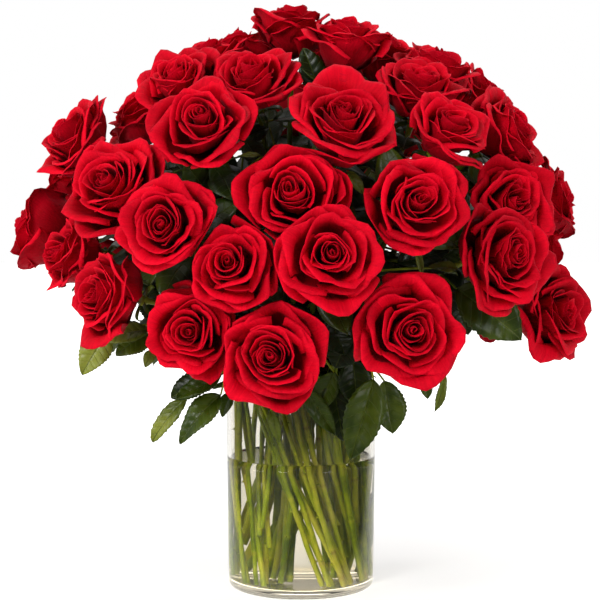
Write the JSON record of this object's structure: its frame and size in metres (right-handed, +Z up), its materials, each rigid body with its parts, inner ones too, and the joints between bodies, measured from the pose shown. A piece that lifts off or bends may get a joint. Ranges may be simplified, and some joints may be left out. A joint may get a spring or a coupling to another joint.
{
  "type": "roses in a vase",
  "caption": "Large round bouquet of full-blown red roses on leafy green stems, standing in a clear glass cylinder vase of water.",
  "frame": {"origin": "centre of the vase's flat underside", "axes": "+Z up through the vase, -Y towards the front as pictured, +X to the viewer's right"},
  "size_m": [0.5544, 0.5226, 0.5856],
  "materials": {
    "petals": "velvety rose petal, matt with a soft sheen",
    "greenery": "rose stem and leaf, semi-gloss",
    "vase_glass": "clear polished glass",
    "water": "clear still water"
  },
  "bodies": {
    "root": {"rose_01": "petals", "rose_02": "petals", "rose_03": "petals", "rose_04": "petals", "rose_05": "petals", "rose_06": "petals", "rose_07": "petals", "rose_08": "petals", "rose_09": "petals", "rose_10": "petals", "rose_11": "petals", "rose_12": "petals", "rose_13": "petals", "rose_14": "petals", "rose_15": "petals", "rose_16": "petals", "rose_17": "petals", "rose_18": "petals", "rose_19": "petals", "rose_20": "petals", "rose_21": "petals", "rose_22": "petals", "rose_23": "petals", "rose_24": "petals", "rose_25": "petals", "rose_26": "petals", "rose_27": "petals", "rose_28": "petals", "rose_29": "petals", "rose_30": "petals", "rose_31": "petals", "rose_32": "petals", "rose_33": "petals", "rose_34": "petals", "rose_35": "petals", "rose_36": "petals", "rose_37": "petals", "rose_38": "petals", "rose_39": "petals", "rose_40": "petals", "rose_41": "petals", "rose_42": "petals", "rose_43": "petals", "rose_44": "petals", "rose_45": "petals", "rose_46": "petals", "rose_47": "petals", "leafy_stems_left": "greenery", "leafy_stems_front_left": "greenery", "leafy_stems_front_mid_left": "greenery", "leafy_stems_front_mid_right": "greenery", "leafy_stems_front_right": "greenery", "leafy_stems_right": "greenery", "leafy_stems_back_right": "greenery", "leafy_stems_back_left": "greenery", "leafy_stems_inner_left": "greenery", "leafy_stems_inner_right": "greenery", "leafy_stems_inner_back": "greenery", "glass_vase": "vase_glass", "water": "water"}
  },
  "joints": []
}
